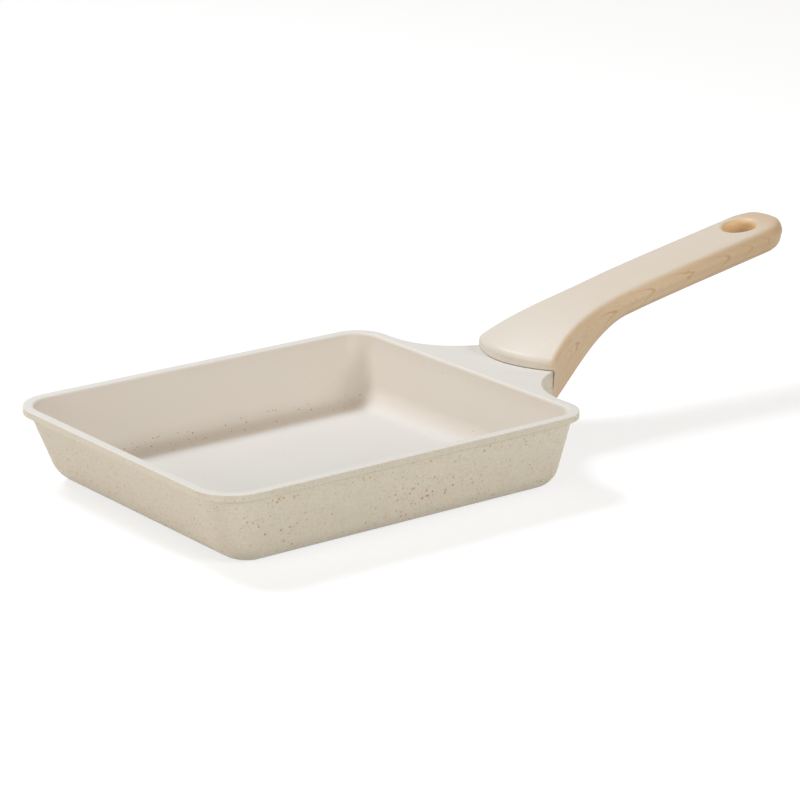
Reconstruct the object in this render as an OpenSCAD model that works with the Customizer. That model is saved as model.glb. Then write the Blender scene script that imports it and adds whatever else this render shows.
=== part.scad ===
// Small rectangular rolled-omelette pan with a one-piece moulded handle.
// Millimetres. X points towards the handle, Y across, Z up.
// The origin is the middle of the rim's plan, on the plane that the base rests on.

/* [Pan] */
// Length of the pan over its rim, without bracket and handle
pan_len = 178; // [150:1:220]
// Width of the pan over its rim
pan_w = 152; // [120:1:200]
// Height of the rim over the table
pan_h = 32.4; // [28:0.1:45]
// Thickness of the side walls
wall_t = 1.9; // [1.6:0.1:3]
// Thickness of the floor
floor_t = 3.2; // [2.4:0.1:5]
// Run of the front wall from its foot to the rim
front_lean = 10.9; // [4:0.1:16]
// Run of each long wall from its foot to the rim
side_lean = 6; // [2:0.1:12]
// Run of the wall on the handle's side from its foot to the rim
back_lean = 6; // [2:0.1:10]
// Plan radius of the rim at the two front corners
front_corner_r = 17.5; // [12:0.1:24]
// Plan radius of the rim at the two corners beside the handle
back_corner_r = 14; // [11:0.1:20]
// How much the corner radii shrink from the rim down to the foot
corner_taper = 2.5; // [0:0.1:4]
// Outside radius where the walls turn into the base
foot_r = 8; // [4:0.1:9]
// Inside radius where the walls turn into the floor
floor_r = 9; // [5:0.1:11]

/* [Rim] */
// Height of the rim band
rim_h = 2.9; // [2:0.1:5]
// How far the rim band stands out from the walls
rim_out = 2.8; // [1.5:0.1:4]
// Width of the flat land on top of the rim
rim_land = 3.2; // [3:0.1:4.2]
// Rounding of the rim's outer edges
rim_edge_r = 0.3; // [0.2:0.1:1.2]

/* [Bracket] */
// Width of the flange where it leaves the rim
flange_spread = 112; // [90:1:118]
// Thickness of the flange
flange_t = 4.2; // [3:0.1:6]
// Width of the deep neck under the flange where it leaves the pan
neck_spread = 72; // [60:1:84]
// Width of the bracket where the handle begins
neck_w = 48; // [40:0.5:52]
// Distance from the rim to the bracket's end face
neck_len = 22.4; // [18:0.1:28]
// Depth of the bracket below the rim
neck_h = 16.8; // [12:0.1:20]
// Width of the tang inside the handle
tang_w = 18; // [12:0.5:22]
// Thickness of the tang
tang_t = 7.6; // [6:0.1:9]
// Length of the tang beyond the bracket's end face
tang_len = 24; // [20:0.5:27]
// Slope of the tang
tang_angle = 24; // [18:1:27]
// Height of the tang's middle line over the rim at the bracket's end face
tang_up = -0.6; // [-1.5:0.1:1]
// Skin left over the two cored pockets under the bracket
core_skin = 6; // [4:0.1:8]
// Wall left around the cored pockets and between them
core_wall = 4.5; // [3:0.1:7]

/* [Handle] */
// Length of the handle from its front lip to its end
handle_len = 154.2; // [135:1:180]
// Distance from the rim to the front lip on the middle line
lip_at = 13.4; // [10:0.1:16]
// Running gap between the handle and the casting
handle_gap = 0.35; // [0.2:0.05:1]
// How far the lip's curve falls back at its two corners
lip_bow = 9.2; // [6:0.1:12]
// Length over which the lip's curve fades out along the handle
bow_run = 47; // [35:1:60]
// Width of the handle at the front lip
front_w = 50.4; // [44:0.2:56]
// Width of the grip
grip_w = 30; // [24:0.2:34]
// Length over which the front narrows to the grip
width_run = 58.5; // [45:0.5:70]
// Depth of the handle where it hugs the bracket
front_t = 26; // [23:0.2:28]
// Thickness of the grip
grip_t = 12.5; // [11:0.1:17]
// Where the deep front starts to thin, behind the lip
thin_from = 13; // [10:1:18]
// Where the thinning ends, behind the lip
thin_to = 59; // [48:1:75]
// Slope of the straight grip
grip_angle = 9.8; // [6:0.5:16]
// Height of the grip's top line over the rim, carried forward to the lip
line_up = 14.6; // [11.5:0.1:18]
// How far the nose drops below that line at the lip
nose_drop = 9.8; // [7:0.1:11]
// Length over which the nose drop fades out
nose_run = 117; // [80:1:130]
// Rounding of the upper edges along the grip
top_edge_r = 5; // [2:0.1:5.4]
// Rounding of the upper edges at the front lip
front_edge_r = 2.2; // [1:0.1:5]
// Length over which that rounding grows to the grip's
edge_run = 55; // [30:1:80]
// Rounding of the lower edges
low_edge_r = 5; // [2:0.1:5.4]
// Rounding of the underside at the handle's end
end_low_r = 5.4; // [4:0.1:8]
// Rounding of the rear end above
end_top_r = 6.4; // [4:0.1:7]
// Rounding of the front lip's upper edge
nose_r = 1.7; // [1:0.1:2.8]
// Crown of the top face across the handle
crown = 0.8; // [0:0.1:1.5]
// How much the sides lean in for each millimetre of depth
side_draft = 0.06; // [0:0.01:0.1]
// Radius of the hanging hole
hang_r = 7; // [5:0.1:8]
// Distance from the handle's end to the hanging hole's middle
hang_in = 20.4; // [17:0.5:30]
// Rounding of the hanging hole's edges
hang_edge_r = 2.6; // [0.8:0.1:2.8]

/* [Fixing screw] */
// Outside radius of the screw's thread
screw_r = 2.45; // [1.9:0.05:2.9]
// Radial clearance of the screw in the tapped hole
thread_gap = 0.05; // [0.02:0.01:0.1]
// Radial clearance of the screw in the handle and the washers
screw_gap = 0.3; // [0.2:0.05:0.5]
// Distance from the bracket's end face to the screw, along the tang
screw_at = 11; // [8:0.5:14]
// Radius of the screw head
head_r = 4.6; // [4:0.1:5]
// Height of the screw head
head_h = 3.2; // [2.5:0.1:3.8]
// Width of the cross recess's arms
cross_w = 1.1; // [0.8:0.1:1.5]
// Depth of the cross recess
cross_depth = 1.8; // [1.2:0.1:2.2]
// Radius of the flat washer
washer_r = 5; // [4.6:0.1:5.8]
// Thickness of the flat washer
washer_t = 1; // [0.8:0.1:1.4]
// Thickness of the spring washer
spring_t = 1.2; // [1:0.1:1.5]
// Angle of the spring washer's split
split_angle = 14; // [8:1:24]
// Wall of the handle between the tang and the washers
seat_wall = 2.8; // [2.4:0.1:3.4]
// Radial clearance around the washers
seat_gap = 0.5; // [0.3:0.1:1]

/* [Base plate] */
// Thickness of the steel plate
plate_t = 0.6; // [0.4:0.1:1]
// Distance from the edge of the flat base to the plate
plate_margin = 6; // [4:0.5:14]
// Plan radius of the plate's corners
plate_corner_r = 9; // [5:0.5:16]
// Gap around the plate and in its holes
plate_gap = 0.15; // [0.1:0.05:0.3]
// Radius of the plate's holes
pip_r = 3; // [2:0.1:4]
// Distance between neighbouring holes
pip_pitch = 12; // [10:0.5:16]

/* [Hidden] */
$fn = 64;
// Steps in each quarter round of the lofted shells
corner_steps = 8;
edge_steps = 5;
// Least thickness of the handle's end face
end_face = 0.6;
// Overlap that makes a cut break through cleanly
cut = 1;

// Pan: derived places
rim_front = -pan_len / 2;
rim_back = pan_len / 2;
wall_top = pan_h - rim_h;
land_edge_r = wall_t + rim_out - rim_land;
foot_front = rim_front + rim_out + front_lean + foot_r;
foot_back = rim_back - rim_out - back_lean - foot_r;
foot_side = pan_w / 2 - rim_out - side_lean - foot_r;

// Bracket and handle: derived places
neck_end = rim_back + neck_len;
neck_low = pan_h - neck_h;
tang_root_in = 6;
lip_x = rim_back + lip_at;
handle_end = lip_x + handle_len;
socket_gap = handle_gap / 2;
seat_z = -tang_t / 2 - socket_gap - seat_wall;
hang_x = handle_end - hang_in;

// Plate: derived places
plate_front = foot_front + plate_margin;
plate_back = foot_back - plate_margin;
plate_side = foot_side - plate_margin;
pip_cols = floor((plate_back - plate_front - 2 * plate_corner_r) / pip_pitch / 2);
pip_rows = floor((2 * plate_side - 2 * plate_corner_r) / pip_pitch / 2);

function clamp01(u) = min(1, max(0, u));
function smooth(u) = let (t = clamp01(u)) t * t * (3 - 2 * t);
function quarter(cx, cy, r, from, steps) =
    [for (i = [0 : steps]) [cx + r * cos(from + 90 * i / steps), cy + r * sin(from + 90 * i / steps)]];

// One plan outline of the pan at height z, moved outwards by out from the wall's outside face
function pan_loop(z, out) =
    let (
        down = clamp01((wall_top - z) / wall_top),
        x0 = rim_front + rim_out + front_lean * down - out,
        x1 = rim_back - rim_out - back_lean * down + out,
        side = pan_w / 2 - rim_out - side_lean * down + out,
        rf = max(1, front_corner_r - rim_out - corner_taper * down + out),
        rb = max(1, back_corner_r - rim_out - corner_taper * down + out),
        outline = concat(
            quarter(x1 - rb, side - rb, rb, 0, corner_steps),
            quarter(x0 + rf, side - rf, rf, 90, corner_steps),
            quarter(x0 + rf, rf - side, rf, 180, corner_steps),
            quarter(x1 - rb, rb - side, rb, 270, corner_steps)))
    [for (p = outline) [p.x, p.y, z]];

// Solid through a stack of loops that all have the same even number of points.
// A cap joins point i to its partner at the loop's other end, so a bowed end loop keeps its curve.
module loft(loops) {
    n = len(loops[0]);
    top = (len(loops) - 1) * n;
    sides = [for (k = [0 : len(loops) - 2], i = [0 : n - 1])
        let (j = (i + 1) % n, a = k * n + i, b = k * n + j, c = b + n, d = a + n)
        each [[a, d, c], [a, c, b]]];
    low_cap = [for (i = [0 : n / 2 - 2]) let (p = n - 1 - i) each [[i, i + 1, p], [i + 1, p - 1, p]]];
    high_cap = [for (f = low_cap) [top + f[2], top + f[1], top + f[0]]];
    polyhedron([for (l = loops) each l], concat(low_cap, sides, high_cap), convexity = 6);
}

// Outside of the pan: foot rounding, leaning walls, then the rim band with its rounded edges
module pan_outside() {
    foot = [for (i = [0 : edge_steps]) let (a = 90 * i / edge_steps)
        pan_loop(foot_r * (1 - cos(a)), foot_r * (sin(a) - 1))];
    band_low = [for (i = [0 : 2]) let (a = 45 * i)
        pan_loop(wall_top + rim_edge_r * (1 - cos(a)), rim_out + rim_edge_r * (sin(a) - 1))];
    band_high = [for (i = [0 : 2]) let (a = 45 * i)
        pan_loop(pan_h - rim_edge_r * (1 - sin(a)), rim_out + rim_edge_r * (cos(a) - 1))];
    loft(concat(foot, [pan_loop(wall_top, 0)], band_low, band_high));
}

// Inside of the pan: floor rounding, leaning walls, then the rounded edge of the rim's land
module pan_inside() {
    bowl = [for (i = [0 : edge_steps]) let (a = 90 * i / edge_steps)
        pan_loop(floor_t + floor_r * (1 - cos(a)), floor_r * (sin(a) - 1) - wall_t)];
    edge = [for (i = [0 : 3]) let (a = 30 * i)
        pan_loop(pan_h - land_edge_r * (1 - sin(a)), land_edge_r * (1 - cos(a)) - wall_t)];
    loft(concat(bowl, edge, [pan_loop(pan_h + cut, land_edge_r - wall_t)]));
}

function bezier(a, b, c, d, t) =
    pow(1 - t, 3) * a + 3 * pow(1 - t, 2) * t * b + 3 * (1 - t) * t * t * c + pow(t, 3) * d;

// One hollow curve of the bracket, from the pan at x0 to the bracket's end face
function bracket_side(x0, spread) =
    let (
        at_pan = [x0, spread / 2],
        pull_pan = [x0 + 0.5, spread / 2 - 0.56 * (spread - neck_w) / 2],
        pull_neck = [neck_end - neck_len / 2, neck_w / 2 + 4.5],
        at_neck = [neck_end, neck_w / 2])
    [for (i = [0 : 14]) bezier(at_pan, pull_pan, pull_neck, at_neck, i / 14)];

// Plate with two hollow sides that reaches from inside the pan's wall to the bracket's end face
module bracket_plate(x0, spread, low, high) {
    near = bracket_side(x0, spread);
    inside = rim_back - rim_out - back_lean - wall_t;
    far = [for (i = [len(near) - 1 : -1 : 0]) [near[i].x, -near[i].y]];
    translate([0, 0, low])
        linear_extrude(high - low)
            polygon(concat([[inside, spread / 2]], near, far, [[inside, -spread / 2]]));
}

module bracket() {
    bracket_plate(rim_back, flange_spread, pan_h - flange_t, pan_h);
    bracket_plate(rim_back - rim_out, neck_spread, neck_low, pan_h - flange_t / 2);
}

// Two pockets that lighten the bracket from below
module bracket_cores() {
    core_x0 = rim_back + 1;
    core_x1 = neck_end - core_wall;
    core_y = (neck_w - 3 * core_wall) / 2;
    for (s = [-1, 1])
        translate([core_x0, s * (core_wall + core_y) / 2 - core_y / 2, neck_low - cut])
            cube([core_x1 - core_x0, core_y, neck_h - core_skin + cut]);
}

// Moves its children to the tang's own axes: X along the tang from the bracket's end face, Z its normal
module at_tang() {
    translate([neck_end, 0, pan_h + tang_up]) rotate([0, -tang_angle, 0]) children();
}

// Bar with a round end along the tang, grown on all sides by a gap
module tang_bar(back, gap) {
    half = tang_w / 2 + gap;
    thick = tang_t + 2 * gap;
    translate([-back, -half, -thick / 2]) cube([back + tang_len + gap - half, 2 * half, thick]);
    translate([tang_len + gap - half, 0, -thick / 2]) cylinder(r = half, h = thick);
}

// The tang starts inside the bracket but stays clear of the handle's lip
module tang() {
    intersection() {
        at_tang() tang_bar(tang_root_in * 2, 0);
        union() {
            translate([neck_end - cut, -tang_w, neck_low])
                cube([tang_len + tang_w, 2 * tang_w, neck_h - cut]);
            translate([neck_end, -tang_w, neck_low])
                cube([tang_len + tang_w, 2 * tang_w, neck_h + tang_len]);
        }
    }
}

// Room for the tang inside the handle, closed towards the lip
module tang_socket() {
    intersection() {
        at_tang() tang_bar(tang_root_in, socket_gap);
        translate([neck_end - socket_gap, -tang_w, 0])
            cube([tang_len + tang_w, 2 * tang_w, pan_h + tang_len]);
    }
}

module each_pip() {
    mid = (plate_front + plate_back) / 2;
    for (i = [-pip_cols : pip_cols], j = [-pip_rows : pip_rows - 1])
        translate([mid + i * pip_pitch, (j + 0.5) * pip_pitch, 0]) children();
}

module plate_outline(gap, thick) {
    x0 = plate_front - gap;
    x1 = plate_back + gap;
    side = plate_side + gap;
    r = plate_corner_r + gap;
    translate([x0 + r, -side, 0]) cube([x1 - x0 - 2 * r, 2 * side, thick]);
    translate([x0, r - side, 0]) cube([x1 - x0, 2 * (side - r), thick]);
    for (x = [x0 + r, x1 - r], y = [r - side, side - r])
        translate([x, y, 0]) cylinder(r = r, h = thick);
}

// Shallow bed of the steel plate, with a flush pip of the casting in each of its holes
module plate_bed() {
    difference() {
        translate([0, 0, -cut]) plate_outline(plate_gap, plate_t + cut);
        each_pip() translate([0, 0, -2 * cut]) cylinder(r = pip_r - plate_gap, h = plate_t + 3 * cut, $fn = 24);
    }
}

module pan_body() {
    color([0.87, 0.84, 0.78])
        difference() {
            union() {
                pan_outside();
                bracket();
                tang();
            }
            pan_inside();
            bracket_cores();
            plate_bed();
            at_tang() translate([screw_at, 0, -tang_t])
                cylinder(r = screw_r + thread_gap, h = 2 * tang_t);
        }
}

module induction_plate() {
    color([0.72, 0.72, 0.71])
        difference() {
            plate_outline(0, plate_t);
            each_pip() translate([0, 0, -cut]) cylinder(r = pip_r, h = plate_t + 2 * cut, $fn = 24);
        }
}

// Handle: top line, depth and half width at a distance s behind the front lip
function top_z(s) =
    pan_h + line_up + s * tan(grip_angle) - nose_drop * pow(1 - clamp01(s / nose_run), 4);
function depth(s) =
    grip_t + (front_t - grip_t) * (1 - smooth((s - thin_from) / (thin_to - thin_from)));
function half_w(s) =
    (grip_w + (front_w - grip_w) * pow(1 - clamp01(s / width_run), 2)) / 2;
function bow(s) = lip_bow * pow(1 - clamp01(s / bow_run), 2);
// Shrink factor of the round end in plan, and what its edge rounding takes off above and below
function end_round(s) =
    let (r = grip_w / 2, u = clamp01((s - handle_len + r) / r)) sqrt(max(0.0004, 1 - u * u));
function end_trim(s, r) =
    let (u = clamp01((s - handle_len + r) / r)) r * (1 - sqrt(max(0.0004, 1 - u * u)));
function edge_r(s) = front_edge_r + (top_edge_r - front_edge_r) * smooth(s / edge_run);
function nose_trim(s) = let (u = clamp01(1 - s / nose_r)) nose_r * (1 - sqrt(1 - u * u));

// One cross section of the handle, from the right edge over the top and back underneath
function section(s) =
    let (
        high = top_z(s) - nose_trim(s) - end_trim(s, end_top_r),
        low = top_z(s) - depth(s) + end_trim(s, min(end_low_r, grip_t - end_top_r - end_face)),
        w = half_w(s) * end_round(s),
        lean = side_draft * (high - low),
        tall = (high - low) / 2,
        rt = min(edge_r(s), tall * 0.96, w * 0.9),
        rb = min(low_edge_r, tall * 0.96, (w - lean) * 0.9),
        wl = max(rb, w - lean),
        right_top = quarter(w - rt, high - rt, rt, 0, edge_steps),
        left_top = [for (p = [for (i = [edge_steps : -1 : 0]) right_top[i]]) [-p.x, p.y]],
        left_low = quarter(rb - wl, low + rb, rb, 180, edge_steps),
        right_low = [for (p = [for (i = [edge_steps : -1 : 0]) left_low[i]]) [-p.x, p.y]],
        crest = [for (k = [1, 0, -1]) [k * (w - rt) / 2, high]],
        belly = [for (k = [-1, 0, 1]) [k * (wl - rb) / 2, low]],
        outline = concat(right_top, crest, left_top, left_low, belly, right_low))
    [for (p = outline)
        let (q = p.x / w, up = smooth((p.y - low) / (high - low)))
        [lip_x + s + bow(s) * q * q, p.x, p.y - crown * q * q * up]];

// The front face keeps the lip's curve: section outlines drawn in towards the middle line
function nose_face() =
    [for (k = [1 : 5])
        let (share = k / 6 + 0.01)
        [for (p = section(0)) [lip_x + (p.x - lip_x) * share * share, p.y * share, p.z]]];

// Distances behind the lip: close together at the nose and at the round end
function stations() =
    concat(
        [for (i = [0 : 3]) nose_r * (1 - cos(30 * i))],
        [for (s = [4 : 3 : 16]) s],
        [for (i = [1 : 16]) 16 + (handle_len - grip_w / 2 - 16) * i / 16],
        [for (i = [1 : 9]) handle_len - grip_w / 2 * (1 - sin(10 * i))]);

// Cutter of a bore with rounded edges, through a plate whose top face is at Z = 0
module rounded_bore(r, edge, thick) {
    wide = r + edge;
    upper = [for (i = [0 : 6]) let (a = 15 * i) [wide - edge * sin(a), edge * (cos(a) - 1)]];
    lower = [for (i = [6 : -1 : 0]) [upper[i].x, -thick - upper[i].y]];
    rotate_extrude()
        polygon(concat([[0, 2 * cut], [wide, 2 * cut]], upper, lower,
            [[wide, -thick - 2 * cut], [0, -thick - 2 * cut]]));
}

// Axis of the hanging hole stands square to the grip, its origin is on the top face
module at_hang() {
    translate([hang_x, 0, top_z(hang_x - lip_x)]) rotate([0, -grip_angle, 0]) children();
}

module handle() {
    color([0.84, 0.74, 0.6])
        difference() {
            loft(concat(nose_face(), [for (s = stations()) section(s)]));
            // Room for the bracket below the lip
            translate([0, -front_w, -cut])
                cube([neck_end + handle_gap, 2 * front_w, pan_h + handle_gap + cut]);
            // Socket of the tang
            tang_socket();
            // Screw hole and the recess of the head and washers
            at_tang() translate([screw_at, 0, seat_z - cut])
                cylinder(r = screw_r + screw_gap, h = seat_wall + socket_gap + 2 * cut);
            at_tang() translate([screw_at, 0, seat_z - front_t])
                cylinder(r = washer_r + seat_gap, h = front_t);
            // Hanging hole with rounded edges
            at_hang() rounded_bore(hang_r, hang_edge_r, grip_t * cos(grip_angle));
        }
}

module ring(r, bore_r, thick) {
    difference() {
        cylinder(r = r, h = thick);
        translate([0, 0, -cut]) cylinder(r = bore_r, h = thick + 2 * cut);
    }
}

module flat_washer() {
    color([0.74, 0.74, 0.74])
        at_tang() translate([screw_at, 0, seat_z - washer_t])
            ring(washer_r, screw_r + screw_gap, washer_t);
}

module spring_washer() {
    color([0.6, 0.6, 0.62])
        at_tang() translate([screw_at, 0, seat_z - washer_t - spring_t])
            rotate([0, 0, split_angle / 2])
                rotate_extrude(angle = 360 - split_angle)
                    translate([screw_r + screw_gap, 0])
                        square([head_r - 0.2 - screw_r - screw_gap, spring_t]);
}

module handle_screw() {
    head_z = seat_z - washer_t - spring_t;
    tip_z = tang_t / 2 - 0.6;
    color([0.78, 0.78, 0.78])
        at_tang() translate([screw_at, 0, 0])
            difference() {
                union() {
                    translate([0, 0, head_z - head_h]) cylinder(r1 = head_r - 0.8, r2 = head_r, h = 0.8);
                    translate([0, 0, head_z - head_h + 0.8]) cylinder(r = head_r, h = head_h - 0.8);
                    translate([0, 0, head_z]) cylinder(r = screw_r, h = tip_z - head_z - 0.5);
                    translate([0, 0, tip_z - 0.5]) cylinder(r1 = screw_r, r2 = screw_r - 0.5, h = 0.5);
                }
                for (turn = [0, 90])
                    rotate([0, 0, turn])
                        translate([-head_r / 2, -cross_w / 2, head_z - head_h - cut])
                            cube([head_r, cross_w, cross_depth + cut]);
            }
}

pan_body();
induction_plate();
handle();
flat_washer();
spring_washer();
handle_screw();
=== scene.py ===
"""Looks of a small rectangular rolled-omelette pan: speckled cast body, smooth pale cooking side,
steel base plate and a one-piece handle with a wood finish. Sizes below are millimetres."""

from math import cos, pi, radians, sin, sqrt, tan

import bmesh
import bpy
import numpy as np
from mathutils import Matrix, Vector


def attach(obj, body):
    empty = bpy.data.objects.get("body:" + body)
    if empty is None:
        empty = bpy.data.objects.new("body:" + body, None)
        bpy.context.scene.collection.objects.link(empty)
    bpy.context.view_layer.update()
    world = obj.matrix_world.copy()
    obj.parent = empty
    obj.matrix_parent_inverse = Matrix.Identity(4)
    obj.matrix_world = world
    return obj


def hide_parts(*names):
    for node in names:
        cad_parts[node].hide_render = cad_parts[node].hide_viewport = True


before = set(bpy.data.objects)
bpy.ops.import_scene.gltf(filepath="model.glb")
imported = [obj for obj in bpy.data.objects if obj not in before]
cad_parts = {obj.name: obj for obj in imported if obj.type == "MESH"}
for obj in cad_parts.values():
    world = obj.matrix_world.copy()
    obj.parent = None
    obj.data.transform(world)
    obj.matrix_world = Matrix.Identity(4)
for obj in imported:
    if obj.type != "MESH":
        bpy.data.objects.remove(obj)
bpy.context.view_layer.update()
MM = 0.001

# Camera: the photograph's place and lens, around the part's own origin
VIEW_AZIMUTH = -37.23
VIEW_ELEVATION = 17.48
VIEW_DISTANCE = 1267.57
VIEW_RIGHT = 40.71
VIEW_UP = 33.59
VIEW_SHIFT_X = -0.6
LENS, SENSOR_WIDTH = 142.71, 36
CLIP_END = 20000
LAMP_AIM = (20, 0, 20)

# Floor: half its width, its distance below the part, the grey that light meets, the grey and the
# glow that the camera meets
FLOOR_HALF, FLOOR_DROP = 2500, 0.4
FLOOR_BOUNCE, FLOOR_GREY, FLOOR_GLOW = 0.85, 0.34, 0.72

# Pan
PAN_LEN, PAN_W, PAN_H = 178, 152, 32.4
WALL_T, FLOOR_T = 1.9, 3.2
FRONT_LEAN, SIDE_LEAN, BACK_LEAN = 10.9, 6, 6
FRONT_CORNER_R, BACK_CORNER_R, CORNER_TAPER = 17.5, 14, 2.5
FOOT_R, FLOOR_R = 8, 9
RIM_H, RIM_OUT, RIM_LAND, RIM_EDGE_R = 2.9, 2.8, 3.2, 0.3
RIM_BACK = PAN_LEN / 2
WALL_TOP = PAN_H - RIM_H
LAND_EDGE_R = WALL_T + RIM_OUT - RIM_LAND

# Bracket and tang
FLANGE_SPREAD, FLANGE_T, FLANGE_RAMP = 112, 4.2, 3
NECK_SPREAD, NECK_W, NECK_LEN, NECK_H = 72, 48, 22.4, 16.8
NECK_END, NECK_LOW = RIM_BACK + NECK_LEN, PAN_H - NECK_H
NECK_EDGE_R, NECK_IN = 1.6, 0.03
# The bracket's curve is pulled to two points: one this far behind the pan and this share of the
# way in, and one halfway along with this flare
PULL_BACK, PULL_IN, PULL_FLARE = 0.5, 0.56, 4.5
TANG_W, TANG_T, TANG_LEN, TANG_ANGLE, TANG_UP, TANG_ROOT_IN = 18, 7.6, 24, 24, -0.6, 6
CORE_SKIN, CORE_WALL, CORE_R = 6, 4.5, 2.2
# Gap in sight between the bracket's end face and the handle: narrower than the solids' own,
# because the photograph shows a hairline there
SEEN_GAP = 0.12

# Handle
HANDLE_LEN, LIP_AT, HANDLE_GAP, LIP_BOW, BOW_RUN = 154.2, 13.4, 0.35, 9.2, 47
FRONT_W, GRIP_W, WIDTH_RUN = 50.4, 30, 58.5
FRONT_T, GRIP_T, THIN_FROM, THIN_TO = 26, 12.5, 13, 59
GRIP_ANGLE, LINE_UP, NOSE_DROP, NOSE_RUN = 9.8, 14.6, 9.8, 117
TOP_EDGE_R, FRONT_EDGE_R, EDGE_RUN, LOW_EDGE_R = 5, 2.2, 55, 5
END_LOW_R, END_TOP_R, NOSE_R = 5.4, 6.4, 1.7
CROWN, SIDE_DRAFT, END_FACE = 0.8, 0.06, 0.6
# The rear tip: shares of the width and of the rounding's height at which it stops, and the
# hollow of the fan that closes it
TIP_WIDE, TIP_TALL, TIP_HOLLOW = 0.1, 0.02, 0.02
# Most that an edge radius takes of half the height and of half the width
TALL_SHARE, WIDE_SHARE = 0.96, 0.9
HANG_R, HANG_IN, HANG_EDGE_R = 7, 20.4, 2.6
LIP_X = RIM_BACK + LIP_AT
HANG_X = LIP_X + HANDLE_LEN - HANG_IN

# Fixing screw and base plate
SCREW_R, THREAD_GAP, SCREW_GAP, SCREW_AT = 2.45, 0.05, 0.3, 11
WASHER_R, SEAT_WALL, SEAT_GAP = 5, 2.8, 0.5
SOCKET_GAP = HANDLE_GAP / 2
SEAT_Z = -TANG_T / 2 - SOCKET_GAP - SEAT_WALL
PLATE_T, PLATE_MARGIN, PLATE_CORNER_R, PLATE_GAP = 0.6, 6, 9, 0.15
PIP_R, PIP_PITCH, PIP_EDGE_R, PIP_CONE, PIP_DISC = 3, 12, 0.25, 0.02, 0.4

# Mesh detail, and how far a cutter reaches past what it cuts
CORNER_STEPS, EDGE_STEPS, WALL_STEPS = 20, 8, 6
SIDE_STEPS, CURVE_STEPS, FACE_STEPS = 40, 28, 12
TANG_STEPS, END_STEPS, FLARE_STEPS, PIP_STEPS = 40, 36, 10, 28
HANDLE_STEP, NOSE_RINGS = 1.5, 13
FLARE_ANGLE, FLARE_RUN = 8, 3
SMOOTH_ANGLE, FLAT_WEIGHT = 32, 60
CUT = 1
# Share by which the rear wall's points stay short of its corners
REAR_SHORT = 0.002
# In metres: points this near are merged, and edges this short are dissolved
MERGE_M, DEGENERATE_M = 2e-6, 1e-6


def clamp01(u):
    return np.clip(u, 0, 1)


def smooth(u):
    t = clamp01(u)
    return t * t * (3 - 2 * t)


def turn(steps, start=0.0, end=90.0):
    """Angles in radians from start to end degrees."""
    return [radians(start + (end - start) * i / steps) for i in range(steps + 1)]


# Meshes


def new_object(name, points, faces):
    """Object from points in millimetres."""
    mesh = bpy.data.meshes.new(name)
    mesh.from_pydata([tuple(float(c) * MM for c in p) for p in points], [], faces)
    mesh.validate()
    obj = bpy.data.objects.new(name, mesh)
    bpy.context.scene.collection.objects.link(obj)
    fix_normals(obj)
    return obj


def fix_normals(obj):
    bm = bmesh.new()
    bm.from_mesh(obj.data)
    bmesh.ops.recalc_face_normals(bm, faces=bm.faces)
    bm.to_mesh(obj.data)
    bm.free()


def ring_faces(count, n, base=0):
    """Quads between count loops of n points each, numbered from base."""
    return [
        tuple(base + r * n + c for r, c in ((k, i), (k, (i + 1) % n), (k + 1, (i + 1) % n), (k + 1, i)))
        for k in range(count - 1)
        for i in range(n)
    ]


def loft(name, loops):
    """Closed solid through loops of equally many points, with a flat face at either end."""
    count, n = len(loops), len(loops[0])
    faces = ring_faces(count, n)
    faces.append(tuple(range(n - 1, -1, -1)))
    faces.append(tuple(range((count - 1) * n, count * n)))
    return new_object(name, np.concatenate(loops), faces)


def ring_loops(profile, steps=96):
    """Loops of a round solid from (radius, height) pairs."""
    angles = [2 * pi * i / steps for i in range(steps)]
    return [np.array([[r * cos(a), r * sin(a), z] for a in angles]) for r, z in profile]


def rounded_rect(x0, x1, y0, y1, r, z, steps=8):
    corners = [(x1 - r, y1 - r, 0), (x0 + r, y1 - r, 90), (x0 + r, y0 + r, 180), (x1 - r, y0 + r, 270)]
    return np.array(
        [
            [cx + r * cos(a), cy + r * sin(a), z]
            for cx, cy, start in corners
            for a in turn(steps, start, start + 90)
        ]
    )


def block(name, x0, x1, y0, y1, r, low, high):
    """Upright block with rounded corners in plan."""
    return loft(name, [rounded_rect(x0, x1, y0, y1, r, z) for z in (low, high)])


def cylinder(name, r, low, high, steps=64):
    return loft(name, ring_loops([(r, low), (r, high)], steps))


def moved(obj, matrix):
    """Places a cutter whose points are about its own axes; the matrix is in millimetres."""
    m = matrix.copy()
    m.translation = m.translation * MM
    obj.data.transform(m)
    return obj


def combine(body, other, operation):
    """Boolean of body with other, which is used up."""
    modifier = body.modifiers.new("shape", "BOOLEAN")
    modifier.object = other
    modifier.operation = operation
    modifier.solver = "EXACT"
    settle(body)
    bpy.data.objects.remove(other)


def settle(obj):
    """Applies the modifiers of a piece."""
    graph = bpy.context.evaluated_depsgraph_get()
    mesh = bpy.data.meshes.new_from_object(obj.evaluated_get(graph))
    obj.modifiers.clear()
    obj.data = mesh


def finish_surface(obj):
    """Merges doubled points, then shades smooth with crisp edges and flat faces kept flat."""
    bm = bmesh.new()
    bm.from_mesh(obj.data)
    bmesh.ops.remove_doubles(bm, verts=bm.verts, dist=MERGE_M)
    bmesh.ops.dissolve_degenerate(bm, edges=bm.edges, dist=DEGENERATE_M)
    bm.to_mesh(obj.data)
    bm.free()
    for polygon in obj.data.polygons:
        polygon.use_smooth = True
    obj.data.set_sharp_from_angle(angle=radians(SMOOTH_ANGLE))
    weighted = obj.modifiers.new("flat_faces", "WEIGHTED_NORMAL")
    weighted.keep_sharp = True
    weighted.weight = FLAT_WEIGHT
    settle(obj)


# Pan body


def bezier(points, t):
    a, b, c, d = [np.array(p, float) for p in points]
    return (1 - t) ** 3 * a + 3 * (1 - t) ** 2 * t * b + 3 * (1 - t) * t * t * c + t**3 * d


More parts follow.
